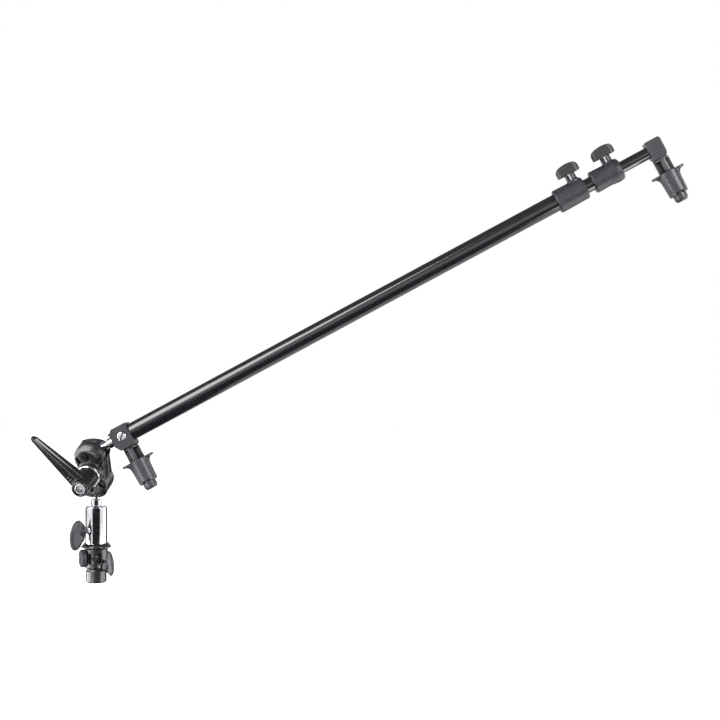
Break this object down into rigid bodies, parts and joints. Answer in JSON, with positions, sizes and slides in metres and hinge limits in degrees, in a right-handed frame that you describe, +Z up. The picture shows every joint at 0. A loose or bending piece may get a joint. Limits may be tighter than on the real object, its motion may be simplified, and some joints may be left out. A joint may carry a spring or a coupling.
{
  "type": "reflector holder arm",
  "caption": "Telescopic arm on a double ball clamp with a stand socket, locking collars with knobs, and sprung clips that hold the rim of a collapsible reflector",
  "frame": {"origin": "centre of the stand socket's mouth, at the foot of the stand adapter", "axes": "+Z up along the stand; the arm rises towards +X; the clamp's lever faces -Y"},
  "size_m": [0.8095, 0.0969, 0.5592],
  "materials": {
    "cast_black": "black painted light-alloy casting, satin",
    "tube_black": "drawn aluminium tube, gloss black",
    "plastic_grey": "moulded nylon, fine grain, dark grey",
    "plastic_black": "moulded plastic, smooth, near black",
    "chrome": "chrome plated steel, mirror bright",
    "steel": "zinc plated turned steel and spring wire",
    "bush_black": "black sliding plastic"
  },
  "bodies": {
    "adapter": {"stand_adapter": "cast_black", "spigot": "steel"},
    "adapter_thread": {"adapter_screw": "chrome"},
    "adapter_hand": {"adapter_wing": "plastic_grey"},
    "lock_thread": {"spigot_lock_screw": "steel"},
    "lock_hand": {"spigot_lock_knob": "plastic_black"},
    "socket": {"stud_socket": "chrome", "lower_ball_stem": "chrome"},
    "socket_thread": {"socket_screw": "chrome"},
    "socket_hand": {"socket_wing": "plastic_grey"},
    "clamp": {"front_shell": "cast_black", "back_shell": "cast_black", "clamp_bolt": "steel", "clamp_spring": "steel", "clamp_washer": "chrome"},
    "lever": {"lever_insert": "steel", "lever_spring": "steel", "lever_screw": "steel"},
    "lever_grip": {"lever_handle": "plastic_black"},
    "upper_ball": {"upper_ball_stem": "chrome"},
    "arm": {"base_block": "plastic_grey", "block_screw": "chrome", "tube_plug": "bush_black", "main_tube": "tube_black", "collar_1": "plastic_grey", "near_clip_post": "plastic_grey", "near_clip_spring": "steel", "near_clip_head": "plastic_black"},
    "near_grip": {"near_clip_sleeve": "plastic_grey"},
    "brake_1": {"shoe_1": "bush_black"},
    "turn_1": {"knob_1": "plastic_grey", "knob_1_bolt": "chrome"},
    "middle": {"middle_tube": "tube_black", "middle_bush": "bush_black", "collar_2": "plastic_grey"},
    "brake_2": {"shoe_2": "bush_black"},
    "turn_2": {"knob_2": "plastic_grey", "knob_2_bolt": "chrome"},
    "end": {"end_tube": "tube_black", "end_bush": "bush_black", "end_elbow": "plastic_grey", "far_clip_post": "plastic_grey", "far_clip_spring": "steel", "far_clip_head": "plastic_black"},
    "far_grip": {"far_clip_sleeve": "plastic_grey"}
  },
  "joints": [
    {"name": "adapter_screw_travel", "type": "slide", "parent": "adapter", "child": "adapter_thread", "axis": [0.7314, -0.682, 0], "range_m": [0, 0.0025]},
    {"name": "adapter_screw_turn", "type": "hinge", "parent": "adapter_thread", "child": "adapter_hand", "pos_m": [0, 0, 0.0223], "axis": [0.7314, -0.682, 0], "range_deg": [0, 720.5]},
    {"name": "lock_screw_travel", "type": "slide", "parent": "adapter", "child": "lock_thread", "axis": [-0.9063, -0.4226, 0], "range_m": [0, 0.0025]},
    {"name": "lock_screw_turn", "type": "hinge", "parent": "lock_thread", "child": "lock_hand", "pos_m": [0, 0, 0.0312], "axis": [-0.9063, -0.4226, 0], "range_deg": [0, 720.5]},
    {"name": "socket_swivel", "type": "hinge", "parent": "adapter", "child": "socket", "pos_m": [0, 0, 0.06], "axis": [0, 0, 1], "continuous": true},
    {"name": "socket_screw_travel", "type": "slide", "parent": "socket", "child": "socket_thread", "axis": [-0.6691, -0.7431, 0], "range_m": [0, 0.0025]},
    {"name": "socket_screw_turn", "type": "hinge", "parent": "socket_thread", "child": "socket_hand", "pos_m": [0, 0, 0.067], "axis": [-0.6691, -0.7431, 0], "range_deg": [0, 720.5]},
    {"name": "clamp_tilt", "type": "hinge", "parent": "socket", "child": "clamp", "pos_m": [0, 0, 0.129], "axis": [-0.121, -0.9193, -0.3746], "range_deg": [-20, 35]},
    {"name": "lever_turn", "type": "hinge", "parent": "clamp", "child": "lever", "pos_m": [-0.00098, -0.00743, 0.14754], "axis": [-0.121, -0.9193, -0.3746], "range_deg": [-100, 60]},
    {"name": "lever_lift", "type": "slide", "parent": "lever", "child": "lever_grip", "axis": [-0.121, -0.9193, -0.3746], "range_m": [0, 0.006], "stiffness_N_per_m": 800, "springref_m": -0.005, "deforming": ["lever_spring"]},
    {"name": "arm_tilt", "type": "hinge", "parent": "clamp", "child": "upper_ball", "pos_m": [-0.00196, -0.01486, 0.16609], "axis": [-0.121, -0.9193, -0.3746], "range_deg": [-20, 95]},
    {"name": "arm_roll", "type": "hinge", "parent": "upper_ball", "child": "arm", "pos_m": [-0.00196, -0.01486, 0.16609], "axis": [0.8798, -0.0523, 0.4726], "continuous": true},
    {"name": "near_clip_grip", "type": "slide", "parent": "arm", "child": "near_grip", "axis": [-0.4717, 0.028, 0.8813], "range_m": [0, 0.014], "stiffness_N_per_m": 500, "springref_m": -0.01, "deforming": ["near_clip_spring"]},
    {"name": "brake_1_lift", "type": "slide", "parent": "arm", "child": "brake_1", "axis": [-0.4717, 0.028, 0.8813], "range_m": [0, 0.00125]},
    {"name": "knob_1_turn", "type": "hinge", "parent": "brake_1", "child": "turn_1", "pos_m": [0.60771, -0.05108, 0.49356], "axis": [-0.4717, 0.028, 0.8813], "range_deg": [0, 360.5]},
    {"name": "middle_slide", "type": "slide", "parent": "arm", "child": "middle", "axis": [0.8798, -0.0523, 0.4726], "range_m": [0, 0.45]},
    {"name": "brake_2_lift", "type": "slide", "parent": "middle", "child": "brake_2", "axis": [-0.4717, 0.028, 0.8813], "range_m": [0, 0.00125]},
    {"name": "knob_2_turn", "type": "hinge", "parent": "brake_2", "child": "turn_2", "pos_m": [0.65012, -0.0536, 0.51634], "axis": [-0.4717, 0.028, 0.8813], "range_deg": [0, 360.5]},
    {"name": "end_slide", "type": "slide", "parent": "middle", "child": "end", "axis": [0.8798, -0.0523, 0.4726], "range_m": [0, 0.45]},
    {"name": "far_clip_grip", "type": "slide", "parent": "end", "child": "far_grip", "axis": [-0.4717, 0.028, 0.8813], "range_m": [0, 0.014], "stiffness_N_per_m": 500, "springref_m": -0.01, "deforming": ["far_clip_spring"]}
  ],
  "couplings": [
    {"joint": "adapter_screw_turn", "follows": "adapter_screw_travel", "rad_per_m": 5026.5},
    {"joint": "lock_screw_turn", "follows": "lock_screw_travel", "rad_per_m": 5026.5},
    {"joint": "socket_screw_turn", "follows": "socket_screw_travel", "rad_per_m": 5026.5},
    {"joint": "knob_1_turn", "follows": "brake_1_lift", "rad_per_m": 5026.5},
    {"joint": "knob_2_turn", "follows": "brake_2_lift", "rad_per_m": 5026.5}
  ]
}
